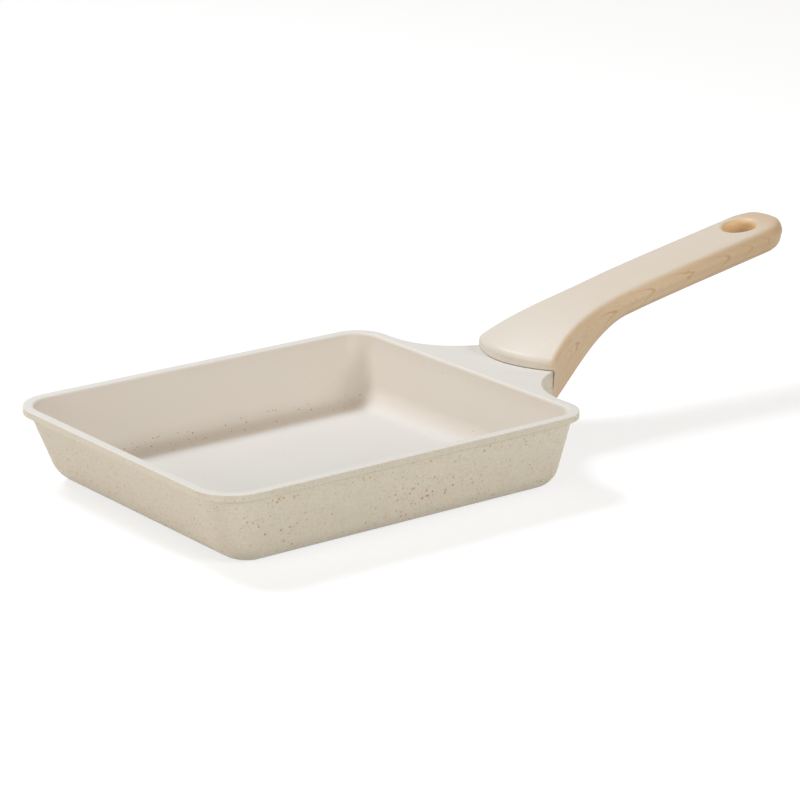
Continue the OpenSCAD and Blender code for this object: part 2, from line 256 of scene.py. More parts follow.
def bracket_side(x0, spread):
    """Hollow curve of the bracket from the pan at x0 to its end face, on the side of +Y."""
    curve = [
        (x0, spread / 2),
        (x0 + PULL_BACK, spread / 2 - PULL_IN * (spread - NECK_W) / 2),
        (NECK_END - NECK_LEN / 2, NECK_W / 2 + PULL_FLARE),
        (NECK_END, NECK_W / 2),
    ]
    return np.array([bezier(curve, i / CURVE_STEPS) for i in range(CURVE_STEPS + 1)])


def flange_line():
    """The flange's outline from -Y to +Y, as (x, y) points with its end face between."""
    right = bracket_side(RIM_BACK, FLANGE_SPREAD)
    up = [[NECK_END, NECK_W * (i / FACE_STEPS - 0.5)] for i in range(1, FACE_STEPS)]
    return np.concatenate([right * [1, -1], up, right[::-1]])


FLANGE = flange_line()


def pan_loop(z, out, on_flange=False):
    """Plan outline at height z, moved outwards by out. On the rim's level the flange joins it.

    Elsewhere the rear wall has the flange's points in its own plane, drawn in between its corners.
    """
    down = clamp01((WALL_TOP - z) / WALL_TOP)
    x0 = -RIM_BACK + RIM_OUT + FRONT_LEAN * down - out
    x1 = RIM_BACK - RIM_OUT - BACK_LEAN * down + out
    side = PAN_W / 2 - RIM_OUT - SIDE_LEAN * down + out
    rf = max(1, FRONT_CORNER_R - RIM_OUT - CORNER_TAPER * down + out)
    rb = max(1, BACK_CORNER_R - RIM_OUT - CORNER_TAPER * down + out)

    def corner(cx, cy, r, start):
        return [[cx + r * cos(a), cy + r * sin(a)] for a in turn(CORNER_STEPS, start, start + 90)]

    def straight(a, b):
        return [list(np.array(a) + (np.array(b) - a) * i / SIDE_STEPS) for i in range(1, SIDE_STEPS)]

    outline = corner(x1 - rb, side - rb, rb, 0)
    outline += straight((x1 - rb, side), (x0 + rf, side))
    outline += corner(x0 + rf, side - rf, rf, 90)
    outline += straight((x0, side - rf), (x0, rf - side))
    outline += corner(x0 + rf, rf - side, rf, 180)
    outline += straight((x0 + rf, -side), (x1 - rb, -side))
    outline += corner(x1 - rb, rb - side, rb, 270)
    if on_flange:
        outline += list(FLANGE + flange_normals() * (out - RIM_OUT))
    else:
        reach = min(1, (side - rb) / FLANGE[-1, 1] - REAR_SHORT)
        outline += [[x1, y * reach] for y in FLANGE[:, 1]]
    points = np.array(outline)
    return np.column_stack([points, np.full(len(points), float(z))])


def flange_normals():
    """Outward normals of the flange's outline, mitred at its two corners."""
    line = np.concatenate([[FLANGE[0] + [0, -1]], FLANGE, [FLANGE[-1] + [0, 1]]])
    step = np.diff(line, axis=0)
    side = np.column_stack([step[:, 1], -step[:, 0]])
    side /= np.linalg.norm(side, axis=1)[:, None]
    both = side[:-1] + side[1:]
    return 2 * both / (both * both).sum(axis=1)[:, None]


def under_flange(loop):
    """Lowers a loop of the rim's underside to the flange's thickness where the flange is."""
    low = loop.copy()
    n = len(FLANGE)
    reach = smooth((FLANGE[:, 0] - RIM_BACK) / FLANGE_RAMP)
    low[-n:, 2] -= (FLANGE_T - RIM_H) * reach
    return low


def shell_loops():
    """From the flat base up the outside, over the rim and down to the floor.

    Also gives the number of the first loop of the cooking side's coating, at the rim's outer edge.
    """
    loops = [pan_loop(FOOT_R * (1 - cos(a)), FOOT_R * (sin(a) - 1)) for a in turn(EDGE_STEPS)]
    rise = WALL_TOP - FOOT_R
    loops += [pan_loop(FOOT_R + rise * i / WALL_STEPS, 0) for i in range(1, WALL_STEPS)]
    loops.append(under_flange(pan_loop(WALL_TOP, 0)))
    for a in turn(EDGE_STEPS):
        z, out = WALL_TOP + RIM_EDGE_R * (1 - cos(a)), RIM_OUT + RIM_EDGE_R * (sin(a) - 1)
        loops.append(under_flange(pan_loop(z, out, True)))
    edge = len(loops)
    for a in turn(EDGE_STEPS):
        z, out = PAN_H - RIM_EDGE_R * (1 - sin(a)), RIM_OUT + RIM_EDGE_R * (cos(a) - 1)
        loops.append(pan_loop(z, out, True))
    for a in reversed(turn(EDGE_STEPS)):
        loops.append(pan_loop(PAN_H - LAND_EDGE_R * (1 - sin(a)), LAND_EDGE_R * (1 - cos(a)) - WALL_T))
    top, low = PAN_H - LAND_EDGE_R, FLOOR_T + FLOOR_R
    loops += [pan_loop(top + (low - top) * i / WALL_STEPS, -WALL_T) for i in range(1, WALL_STEPS)]
    for a in reversed(turn(2 * EDGE_STEPS)):
        loops.append(pan_loop(FLOOR_T + FLOOR_R * (1 - cos(a)), FLOOR_R * (sin(a) - 1) - WALL_T))
    return loops, edge


def neck():
    """Deep part of the bracket: it flows out of the leaning rear wall, with its lower edges rounded.

    It is rooted in the middle of the wall, and its curve starts just under the wall's outside.
    """
    heights = []
    for a in turn(EDGE_STEPS):
        heights.append((NECK_LOW + NECK_EDGE_R * (1 - cos(a)), NECK_EDGE_R * (1 - sin(a))))
    heights.append((PAN_H - FLANGE_T / 2, 0))
    loops = []
    for z, shrink in heights:
        wall_x = RIM_BACK - RIM_OUT - BACK_LEAN * clamp01((WALL_TOP - z) / WALL_TOP)
        root, start = wall_x - WALL_T / 2, wall_x - WALL_T / 10
        near = bracket_side(start, NECK_SPREAD) - [0, shrink]
        near[:, 0] = np.minimum(near[:, 0], NECK_END - shrink - NECK_IN)
        outline = [[root, NECK_SPREAD / 2 - shrink], *near]
        outline += [[x, -y] for x, y in reversed(outline)]
        loops.append(np.array([[x, y, z] for x, y in outline]))
    return loft("neck", loops)


def at_tang():
    """The tang's own axes, which rise to the rear from the bracket's end face."""
    lean = Matrix.Rotation(radians(-TANG_ANGLE), 4, "Y")
    return Matrix.Translation((NECK_END, 0, PAN_H + TANG_UP)) @ lean


def tang_bar(back, gap):
    """Bar with a round end about the tang's own axes, grown on all sides by a gap."""
    half, thick = TANG_W / 2 + gap, TANG_T / 2 + gap
    end = TANG_LEN + gap - half
    outline = [[-back, half], [-back, -half]]
    outline += [[end + half * sin(a), -half * cos(a)] for a in turn(TANG_STEPS, 0, 180)]
    return loft("tang", [np.array([[x, y, z] for x, y in outline]) for z in (-thick, thick)])


def plate_loop(grow, z):
    x0 = -RIM_BACK + RIM_OUT + FRONT_LEAN + FOOT_R + PLATE_MARGIN - grow
    x1 = RIM_BACK - RIM_OUT - BACK_LEAN - FOOT_R - PLATE_MARGIN + grow
    side = PAN_W / 2 - RIM_OUT - SIDE_LEAN - FOOT_R - PLATE_MARGIN + grow
    return rounded_rect(x0, x1, -side, side, PLATE_CORNER_R + grow, z)


def pips():
    """The casting's round pips in the plate's holes: eased edges, and a low cone round a flat disc."""
    rect = plate_loop(0, 0)
    x0, x1, side = rect[:, 0].min(), rect[:, 0].max(), rect[:, 1].max()
    columns = int((x1 - x0 - 2 * PLATE_CORNER_R) / PIP_PITCH / 2)
    rows = int((2 * side - 2 * PLATE_CORNER_R) / PIP_PITCH / 2)
    r = PIP_R - PLATE_GAP
    profile = [(r, PLATE_T + CUT), (r, PIP_EDGE_R), (r - PIP_EDGE_R, PIP_CONE), (PIP_DISC * r, 0.0)]
    loops = ring_loops(profile, PIP_STEPS)
    count, n = len(loops), len(loops[0])
    points, faces = [], []
    for i in range(-columns, columns + 1):
        for j in range(-rows, rows):
            base = len(points)
            last = base + (count - 1) * n
            centre = [(x0 + x1) / 2 + i * PIP_PITCH, (j + 0.5) * PIP_PITCH, 0]
            points += [p + centre for loop in loops for p in loop]
            faces += ring_faces(count, n, base)
            faces.append(tuple(range(base, base + n)))
            faces.append(tuple(range(last + n - 1, last - 1, -1)))
    return new_object("pips", points, faces)


def pan_shell():
    """The pan without bracket and base, coated in two materials that meet at the rim's outer edge."""
    loops, edge = shell_loops()
    body = loft("pan_casting", loops)
    body.data.materials.append(outside_material())
    body.data.materials.append(cooking_side_material())
    n, last = len(loops[0]), len(body.data.polygons) - 1
    for polygon in body.data.polygons:
        on_ring = polygon.index < n * (len(loops) - 1)
        inner = polygon.vertices[0] // n >= edge if on_ring else polygon.index == last
        polygon.material_index = int(inner)
    return body


def tang():
    """The tang behind the bracket's end face."""
    bar = moved(tang_bar(2 * TANG_ROOT_IN, 0), at_tang())
    x0, x1, high = NECK_END - CUT, NECK_END + TANG_LEN * 2, PAN_H + TANG_LEN
    combine(bar, block("room", x0, x1, -TANG_W, TANG_W, 1, NECK_LOW, high), "INTERSECT")
    return bar


def core_pocket(side):
    """One of the bracket's two pockets, open below; side is -1 or 1."""
    width = (NECK_W - 3 * CORE_WALL) / 2
    middle = side * (CORE_WALL + width) / 2
    y0, y1 = middle - width / 2, middle + width / 2
    x0, x1 = RIM_BACK + 1, NECK_END - CORE_WALL
    return block("core", x0, x1, y0, y1, CORE_R, NECK_LOW - CUT, PAN_H - CORE_SKIN)


def make_pan_body():
    body = pan_shell()
    combine(body, neck(), "UNION")
    combine(body, tang(), "UNION")
    for side in (-1, 1):
        combine(body, core_pocket(side), "DIFFERENCE")
    combine(body, loft("bed", [plate_loop(PLATE_GAP, -CUT), plate_loop(PLATE_GAP, PLATE_T)]), "DIFFERENCE")
    combine(body, pips(), "UNION")
    hole = cylinder("tapped_hole", SCREW_R + THREAD_GAP, -TANG_T, TANG_T)
    place = at_tang() @ Matrix.Translation((SCREW_AT, 0, 0))
    combine(body, moved(hole, place), "DIFFERENCE")
    finish_surface(body)
    return body


# Handle


def top_z(s):
    """Height of the top's middle line at s behind the lip."""
    return PAN_H + LINE_UP + s * tan(radians(GRIP_ANGLE)) - NOSE_DROP * (1 - clamp01(s / NOSE_RUN)) ** 4


def depth(s):
    """Thickness before the ends are rounded."""
    return GRIP_T + (FRONT_T - GRIP_T) * (1 - smooth((s - THIN_FROM) / (THIN_TO - THIN_FROM)))


def half_w(s):
    """Half the width before the rear end is rounded."""
    return (GRIP_W + (FRONT_W - GRIP_W) * (1 - clamp01(s / WIDTH_RUN)) ** 2) / 2


def end_round(s):
    """Share of the width that the half-round end keeps."""
    r = GRIP_W / 2
    u = clamp01((s - HANDLE_LEN + r) / r)
    return max(TIP_WIDE, sqrt(1 - u * u))


def end_trim(s, r):
    """What the end's rounding of radius r takes off the height."""
    u = clamp01((s - HANDLE_LEN + r) / r)
    return r * (1 - max(TIP_TALL, sqrt(1 - u * u)))


def edge_r(s):
    """Radius of the upper edges, which grows to the rear."""
    return FRONT_EDGE_R + (TOP_EDGE_R - FRONT_EDGE_R) * smooth(s / EDGE_RUN)


def nose_trim(s):
    """What the lip's rounding takes off the top."""
    u = clamp01(1 - s / NOSE_R)
    return NOSE_R * (1 - sqrt(1 - u * u))


def section(s):
    """Cross section at s behind the lip, from the top's middle down by +Y and back up by -Y."""
    high = top_z(s) - nose_trim(s) - end_trim(s, END_TOP_R)
    low = top_z(s) - depth(s) + end_trim(s, min(END_LOW_R, GRIP_T - END_TOP_R - END_FACE))
    w = half_w(s) * end_round(s)
    lean = SIDE_DRAFT * (high - low)
    tall = (high - low) / 2
    rt = min(edge_r(s), tall * TALL_SHARE, w * WIDE_SHARE)
    rb = min(LOW_EDGE_R, tall * TALL_SHARE, (w - lean) * WIDE_SHARE)
    wl = max(rb, w - lean)
    half = [[(w - rt) * k / FACE_STEPS, high] for k in range(FACE_STEPS)]
    half += [[w - rt + rt * sin(a), high - rt + rt * cos(a)] for a in turn(EDGE_STEPS)]
    for k in range(1, WALL_STEPS):
        y, z = w + (wl - w) * k / WALL_STEPS, high - rt + (low + rb - high + rt) * k / WALL_STEPS
        half.append([y, z])
    half += [[wl - rb + rb * cos(a), low + rb - rb * sin(a)] for a in turn(EDGE_STEPS)]
    half += [[(wl - rb) * (1 - k / FACE_STEPS), low] for k in range(1, FACE_STEPS + 1)]
    outline = half + [[-y, z] for y, z in half[-2:0:-1]]
    points = []
    for y, z in outline:
        q, up = y / w, smooth((z - low) / (high - low))
        back = LIP_BOW * (1 - clamp01(s / BOW_RUN)) ** 2 * q * q
        points.append([LIP_X + s + back, y, z - CROWN * q * q * up])
    return np.array(points)


def stations():
    """Distances behind the lip: close together at the nose and at the round end."""
    nose = [NOSE_R * (1 - cos(a)) for a in turn(EDGE_STEPS)]
    straight_end = HANDLE_LEN - GRIP_W / 2
    count = int((straight_end - NOSE_R) / HANDLE_STEP)
    middle = [NOSE_R + (straight_end - NOSE_R) * i / count for i in range(1, count + 1)]
    end = [HANDLE_LEN - GRIP_W / 2 * (1 - sin(a)) for a in turn(END_STEPS)[1:]]
    return nose + middle + end


def nose_face():
    """Section outlines drawn in towards the middle line, so the front face keeps the lip's curve."""
    front = section(0)
    loops = []
    for k in range(1, NOSE_RINGS):
        share = k / NOSE_RINGS
        loop = front.copy()
        loop[:, 0] = LIP_X + (front[:, 0] - LIP_X) * share * share
        loop[:, 1] = front[:, 1] * share
        loops.append(loop)
    return loops


def handle_solid():
    """Lofted handle. The front face closes in a strip of quads and the rear tip in a fan."""
    loops = nose_face() + [section(s) for s in stations()]
    count, n = len(loops), len(loops[0])
    faces = ring_faces(count, n)
    for i in range(n // 2):
        faces.append(tuple(dict.fromkeys([i, i + 1, (n - i - 1) % n, (n - i) % n])))
    last = (count - 1) * n
    faces += [(last + i, last + (i + 1) % n, count * n) for i in range(n)]
    tip = loops[-1].mean(axis=0) - [TIP_HOLLOW, 0, 0]
    return new_object("wood_finish_handle", np.concatenate([*loops, [tip]]), faces)


def hang_cutter():
    """Bore with rounded edges, which cross the top and bottom faces at a small angle."""
    thick = GRIP_T * cos(radians(GRIP_ANGLE))
    wide, first = HANG_R + HANG_EDGE_R, radians(FLARE_ANGLE)
    upper = []
    for a in turn(FLARE_STEPS, FLARE_ANGLE):
        upper.append((wide - HANG_EDGE_R * sin(a), HANG_EDGE_R * (cos(a) - 1)))
    flare = (upper[0][0] + FLARE_RUN * cos(first), upper[0][1] + FLARE_RUN * sin(first))
    upper = [flare] + upper
    profile = upper + [(r, -thick - z) for r, z in reversed(upper)]
    lean = Matrix.Rotation(radians(-GRIP_ANGLE), 4, "Y")
    place = Matrix.Translation((HANG_X, 0, top_z(HANG_X - LIP_X))) @ lean
    return moved(loft("hang_cutter", ring_loops(profile)), place)


def socket_cutter():
    """Room for the tang behind the bracket's end face."""
    socket = moved(tang_bar(TANG_ROOT_IN, SOCKET_GAP), at_tang())
    x0, x1 = NECK_END - SOCKET_GAP, NECK_END + 2 * TANG_LEN
    combine(socket, block("behind_lip", x0, x1, -TANG_W, TANG_W, 1, 0, PAN_H + TANG_LEN), "INTERSECT")
    return socket


def make_handle():
    body = handle_solid()
    room = block("room", 0, NECK_END + SEEN_GAP, -FRONT_W, FRONT_W, 1, -CUT, PAN_H + HANDLE_GAP)
    combine(body, room, "DIFFERENCE")
    combine(body, socket_cutter(), "DIFFERENCE")
    seat = at_tang() @ Matrix.Translation((SCREW_AT, 0, SEAT_Z))
    hole = cylinder("screw_hole", SCREW_R + SCREW_GAP, -CUT, SEAT_WALL + SOCKET_GAP + CUT)
    combine(body, moved(hole, seat), "DIFFERENCE")
    recess = cylinder("recess", WASHER_R + SEAT_GAP, -FRONT_T, 0)
    combine(body, moved(recess, seat), "DIFFERENCE")
    combine(body, hang_cutter(), "DIFFERENCE")
    finish_surface(body)
    return body


# Materials

# Arches in the wood finish: first tip, distance between tips, where they come closer, height and bend
ARCH_X, ARCH_PITCH, ARCH_CLOSE_X = 153, 22, 219
ARCH_LEVEL, ARCH_BEND_UP, ARCH_BEND_LOW = 0.4, 1.5, 0.36


class Graph:
    """Short forms for the nodes of one material, with places in millimetres."""

    def __init__(self, name):
        self.material = bpy.data.materials.new(name)
        self.material.use_nodes = True
        self.tree = self.material.node_tree
        self.shader = self.tree.nodes["Principled BSDF"]
        coordinates = self.tree.nodes.new("ShaderNodeTexCoord")
        self.place = self.vector("MULTIPLY", coordinates.outputs["Object"], (1000, 1000, 1000))
        self.facing = coordinates.outputs["Normal"]

    def put(self, socket, value):
        if isinstance(value, bpy.types.NodeSocket):
            self.tree.links.new(value, socket)
        else:
            socket.default_value = value

    def math(self, operation, a, b=0.0, clamp=False):
        node = self.tree.nodes.new("ShaderNodeMath")
        node.operation = operation
        node.use_clamp = clamp
        self.put(node.inputs[0], a)
        self.put(node.inputs[1], b)
        return node.outputs[0]

    def vector(self, operation, a, b):
        node = self.tree.nodes.new("ShaderNodeVectorMath")
        node.operation = operation
        self.put(node.inputs[0], a)
        self.put(node.inputs[1], b)
        return node.outputs[0]

    def parts(self, vector):
        node = self.tree.nodes.new("ShaderNodeSeparateXYZ")
        self.put(node.inputs[0], vector)
        return node.outputs

    def join(self, x, y, z):
        node = self.tree.nodes.new("ShaderNodeCombineXYZ")
        for socket, value in zip(node.inputs, (x, y, z)):
            self.put(socket, value)
        return node.outputs[0]

    def noise(self, place, size, detail=3.0, roughness=0.5):
        """Noise of 0 to 1 whose features are about size millimetres across."""
        node = self.tree.nodes.new("ShaderNodeTexNoise")
        self.put(node.inputs["Vector"], place)
        node.inputs["Scale"].default_value = 1.0 / size
        node.inputs["Detail"].default_value = detail
        node.inputs["Roughness"].default_value = roughness
        return node.outputs["Fac"]

    def cells(self, place, size):
        """Distance from the nearest cell centre in cell sizes, and the cell's own random colour."""
        node = self.tree.nodes.new("ShaderNodeTexVoronoi")
        self.put(node.inputs["Vector"], place)
        node.inputs["Scale"].default_value = 1.0 / size
        return node.outputs["Distance"], node.outputs["Color"]

    def step(self, value, low, high):
        """0 up to low, 1 from high on, smooth between; low may be above high."""
        node = self.tree.nodes.new("ShaderNodeMapRange")
        node.interpolation_type = "SMOOTHSTEP"
        self.put(node.inputs["Value"], value)
        self.put(node.inputs["From Min"], low)
        self.put(node.inputs["From Max"], high)
        return node.outputs["Result"]

    def span(self, value, low, high):
        """Maps 0 to 1 onto low to high, and runs on beyond."""
        return self.math("ADD", self.math("MULTIPLY", value, high - low), low)

    def mix(self, share, a, b):
        node = self.tree.nodes.new("ShaderNodeMix")
        node.data_type = "RGBA"
        self.put(node.inputs["Factor"], share)
        self.put(node.inputs["A"], a if isinstance(a, bpy.types.NodeSocket) else (*a, 1))
        self.put(node.inputs["B"], b if isinstance(b, bpy.types.NodeSocket) else (*b, 1))
        return node.outputs["Result"]

    def bump(self, height, distance, below=None):
        """Height of 0 to 1 over a distance in millimetres."""
        node = self.tree.nodes.new("ShaderNodeBump")
        node.inputs["Strength"].default_value = 1.0
        node.inputs["Distance"].default_value = distance * MM
        self.put(node.inputs["Height"], height)
        if below is not None:
            self.put(node.inputs["Normal"], below)
        return node.outputs["Normal"]

    def specks(self, size, share, radius):
        """Round specks in a share of the cells; radius is in cell sizes."""
        distance, colour = self.cells(self.place, size)
        chance, spread, _ = self.parts(colour)
        here = self.math("LESS_THAN", chance, share)
        reach = self.math("MULTIPLY", self.span(spread, 0.45, 1.0), radius)
        soft = self.step(self.math("DIVIDE", distance, reach), 1.0, 0.7)
        return self.math("MULTIPLY", soft, here)

    def finish(self, colour, roughness, normal, **settings):
        self.put(self.shader.inputs["Base Color"], colour)
        self.put(self.shader.inputs["Roughness"], roughness)
        self.put(self.shader.inputs["Normal"], normal)
        for name, value in settings.items():
            self.shader.inputs[name.replace("_", " ")].default_value = value
        return self.material


def srgb(r, g, b):
    """Linear colour of an sRGB one given as 0 to 255."""
    return tuple(((c / 255 + 0.055) / 1.055) ** 2.4 for c in (r, g, b))


def cooking_side_material():
    """Satin pale ceramic with painted light that makes faces looking up whiter, and painted shade in warm
    brown along the foot of the far wall, where most of its brown specks are.
    """
    g = Graph("pale_ceramic")
    _, y, z = g.parts(g.place)
    cloud = g.noise(g.place, 38, 2)
    # Painted light: faces that look up are made whiter than the walls, as where the light from above falls.
    level = g.step(g.parts(g.facing)[2], 0.6, 0.97)
    colour = g.mix(level, srgb(211, 203, 192), srgb(213, 210, 204))
    colour = g.mix(g.math("MULTIPLY", g.step(cloud, 0.4, 0.7), 0.3), colour, srgb(213, 208, 199))
    foot = g.math("MULTIPLY", g.step(y, 56, 60), g.step(z, 9.5, 6.5))
    # Painted shade: a warm brown darkening along the foot of the far wall, where the wall shades the
    # fillet.
    painted_foot_shade = g.math("MULTIPLY", g.step(y, 53, 59), g.step(z, 7.5, 4.6))
    colour = g.mix(g.math("MULTIPLY", painted_foot_shade, 0.6), colour, srgb(198, 182, 163))
    patch = g.math("ADD", g.step(g.noise(g.place, 24, 2), 0.52, 0.7), foot)
    patch = g.math("MULTIPLY", patch, g.step(g.noise(g.place, 9, 2), 0.36, 0.58))
    share = g.math("ADD", g.math("MULTIPLY", foot, 0.5), 0.04)
    speck = g.math("MULTIPLY", g.specks(1.5, share, 0.3), patch, clamp=True)
    colour = g.mix(g.math("MULTIPLY", speck, 0.85), colour, srgb(156, 96, 66))
    rough = g.span(g.noise(g.place, 3, 3), 0.6, 0.68)
    normal = g.bump(g.noise(g.place, 14, 2), 0.05)
    return g.finish(colour, rough, normal, Specular_IOR_Level=0.42)


def outside_material():
    """Warm grey coating: a quiet mottled ground with patches of soft brown and golden specks.

    The front wall's ground is warmer, with painted warm light, and the rim's band carries painted shade,
    except on the front wall, where it carries painted light.
    """
    g = Graph("speckled_coating")
    cloud = g.noise(g.place, 30, 2)
    mottle = g.noise(g.place, 3.2, 3, 0.6)
    grain = g.noise(g.place, 0.6, 2)
    front = g.step(g.parts(g.facing)[0], -0.6, -0.85)
    ground = g.mix(cloud, srgb(198, 191, 174), srgb(204, 196, 179))
    # Painted light: the front wall's ground is warmed, as by the warmer light that falls on it.
    ground = g.mix(g.math("MULTIPLY", front, 0.4), ground, srgb(200, 186, 166))
    ground = g.mix(g.math("MULTIPLY", g.step(mottle, 0.45, 0.65), 0.4), ground, srgb(191, 184, 167))
    ground = g.mix(g.math("MULTIPLY", g.step(grain, 0.4, 0.65), 0.45), ground, srgb(185, 176, 157))
    patch = g.span(g.step(g.noise(g.place, 19, 3), 0.42, 0.62), 0.4, 1.0)
    faint = g.math("MULTIPLY", g.specks(1.6, 0.75, 0.38), patch)
    ground = g.mix(g.math("MULTIPLY", faint, 0.5), ground, srgb(190, 164, 133))
    small = g.math("MULTIPLY", g.specks(1.2, g.span(front, 0.45, 0.75), 0.36), patch)
    ground = g.mix(g.math("MULTIPLY", small, g.span(front, 0.55, 0.75)), ground, srgb(178, 146, 98))
    large = g.math("MULTIPLY", g.specks(2.4, g.span(front, 0.85, 0.6), 0.3), patch)
    ground = g.mix(g.math("MULTIPLY", large, 0.8), ground, srgb(174, 128, 87))
    # Painted shade darkens the rim's band on the near, rear and handle sides, and painted light lightens it
    # on the front wall.
    rim = g.step(g.parts(g.place)[2], WALL_TOP, WALL_TOP + 0.3)
    rim_band_painted_shade_and_light = g.mix(front, srgb(170, 165, 150), srgb(218, 212, 196))
    ground = g.mix(g.math("MULTIPLY", rim, 0.22), ground, rim_band_painted_shade_and_light)
    rough = g.span(grain, 0.42, 0.54)
    normal = g.bump(grain, 0.012, below=g.bump(g.noise(g.place, 6, 2), 0.06))
    return g.finish(ground, rough, normal)


def below_arches(g, s, z):
    """Height below the arches' middle line, which follows the handle's top at s behind the lip."""
    drop = g.math("POWER", g.math("SUBTRACT", 1, g.math("DIVIDE", s, NOSE_RUN), clamp=True), 4)
    start = PAN_H + LINE_UP
    straight = g.span(s, start, start + tan(radians(GRIP_ANGLE)))
    line = g.math("SUBTRACT", straight, g.math("MULTIPLY", drop, NOSE_DROP))
    deep = g.span(g.step(s, THIN_FROM, THIN_TO), FRONT_T, GRIP_T)
    return g.math("SUBTRACT", g.math("SUBTRACT", line, z), g.math("MULTIPLY", deep, ARCH_LEVEL))


def arch_count(g, x, off, place):
    """Number of arches up to here, with a fraction: a dark edge comes just before a whole value."""
    waves = g.noise(g.vector("MULTIPLY", place, (0.25, 0.6, 1)), 3, 4, 0.65)
    sway = g.math("MULTIPLY", g.math("SUBTRACT", waves, 0.5), 0.6)
    bend = g.span(g.step(off, -0.5, 0.5), ARCH_BEND_UP, ARCH_BEND_LOW)
    curve = g.math("MULTIPLY", bend, g.math("MULTIPLY", off, off))
    close = g.math("MAXIMUM", g.math("SUBTRACT", x, ARCH_CLOSE_X), 0.0)
    run = g.math("ADD", g.math("ADD", g.math("SUBTRACT", x, ARCH_X), curve), close)
    return g.math("ADD", g.math("DIVIDE", run, ARCH_PITCH), sway)


def wood_masks(g, x, y):
    """Where the sides' finish shows, the rear end included, and where the hanging hole's bore is."""
    across, facing_y, _ = g.parts(g.facing)
    side = g.step(g.math("ABSOLUTE", facing_y), 0.35, 0.8)
    side = g.math("MAXIMUM", side, g.step(across, 0.25, 0.75))
    hole_x = g.math("SUBTRACT", x, HANG_X)
    radius = g.math("SQRT", g.math("ADD", g.math("MULTIPLY", hole_x, hole_x), g.math("MULTIPLY", y, y)))
    bore = g.step(radius, HANG_R + 1.6, HANG_R + 0.4)
    return side, bore


def wood_ground(g, s, streak, side, bore):
    """Ground of the finish: pale on top, browner behind and at the sides, darkened below with painted
    shade, golden in the bore.
    """
    base = g.mix(g.step(s, 5, 60), srgb(206, 198, 186), srgb(204, 192, 176))
    base = g.mix(g.math("MULTIPLY", streak, 0.3), base, srgb(212, 202, 184))
    base = g.mix(g.math("MULTIPLY", g.step(s, 128, 150), 0.85), base, srgb(192, 167, 132))
    base = g.mix(side, base, g.mix(g.step(s, 60, 150), srgb(194, 171, 140), srgb(180, 154, 120)))
    # Painted shade: faces that look down are darkened brown.
    painted_under_shade = g.step(g.parts(g.facing)[2], -0.1, -0.7)
    base = g.mix(g.math("MULTIPLY", painted_under_shade, 0.4), base, srgb(150, 118, 88))
    return g.mix(bore, base, srgb(211, 179, 134))


def thin_lines(g, ring, place, s, side):
    """Strength of the fine lines between the arches, which fade in patches and past the bend."""
    phase = g.math("FRACT", g.math("MULTIPLY", ring, 5))
    thin = g.math("MULTIPLY", g.step(phase, 0.3, 0.9), g.step(phase, 1.0, 0.92))
    seen = g.math("MULTIPLY", side, g.step(g.noise(place, 9, 2), 0.35, 0.65))
    bend_lines = g.span(g.step(s, 85, 55), 0.16, 0.42)
    return g.math("MULTIPLY", thin, g.math("MULTIPLY", seen, bend_lines))


def arch_lines(g, ring, off, side, bore):
    """Strength of the arches' dark edges: strongest near their tips, and hardly there on the top."""
    phase = g.math("FRACT", ring)
    arch = g.math("MULTIPLY", g.step(phase, 0.86, 0.975), g.step(phase, 1.0, 0.98))
    tip = g.step(g.math("ABSOLUTE", off), 3.2, 0.6)
    strength = g.math("MULTIPLY", g.span(tip, 0.3, 0.7), g.span(side, 0.04, 1.0))
    strength = g.math("MULTIPLY", strength, g.span(bore, 1.0, 0.0))
    return g.math("MULTIPLY", arch, strength)


def wood_material():
    """Pale wood finish: plain lengthwise grain above, and arches that point to the rear on the sides."""
    g = Graph("wood_finish")
    x, y, z = g.parts(g.place)
    s = g.math("SUBTRACT", x, LIP_X)
    off = below_arches(g, s, z)
    place = g.join(s, y, off)
    ring = arch_count(g, x, off, place)
    side, bore = wood_masks(g, x, y)
    fibre = g.noise(g.vector("MULTIPLY", place, (0.06, 1, 1)), 0.8, 4, 0.65)
    streak = g.noise(g.vector("MULTIPLY", place, (0.03, 1, 1)), 4, 2)
    colour = wood_ground(g, s, streak, side, bore)
    fibres = g.math("MULTIPLY", g.step(fibre, 0.5, 0.75), g.span(side, 0.08, 0.3))
    colour = g.mix(fibres, colour, srgb(182, 152, 115))
    colour = g.mix(thin_lines(g, ring, place, s, side), colour, srgb(175, 141, 99))
    colour = g.mix(arch_lines(g, ring, off, side, bore), colour, srgb(171, 127, 80))
    rough = g.span(fibre, 0.42, 0.54)
    normal = g.bump(fibre, 0.02)
    return g.finish(colour, rough, normal)


def steel_material(name, colour, along, size, low, high):
    """Steel with fine marks along one direction; along squeezes the marks' places."""
    g = Graph(name)
    marks = g.noise(g.vector("MULTIPLY", g.place, along), size, 5, 0.7)
    cloud = g.noise(g.place, 12, 2)
    tint = g.mix(g.span(marks, 0.0, 0.6), colour, tuple(c * 0.78 for c in colour))
    tint = g.mix(g.span(cloud, 0.0, 0.25), tint, tuple(c * 0.9 for c in colour))
    rough = g.span(marks, low, high)
    return g.finish(tint, rough, g.bump(marks, 0.01), Metallic=1.0)


# Stage


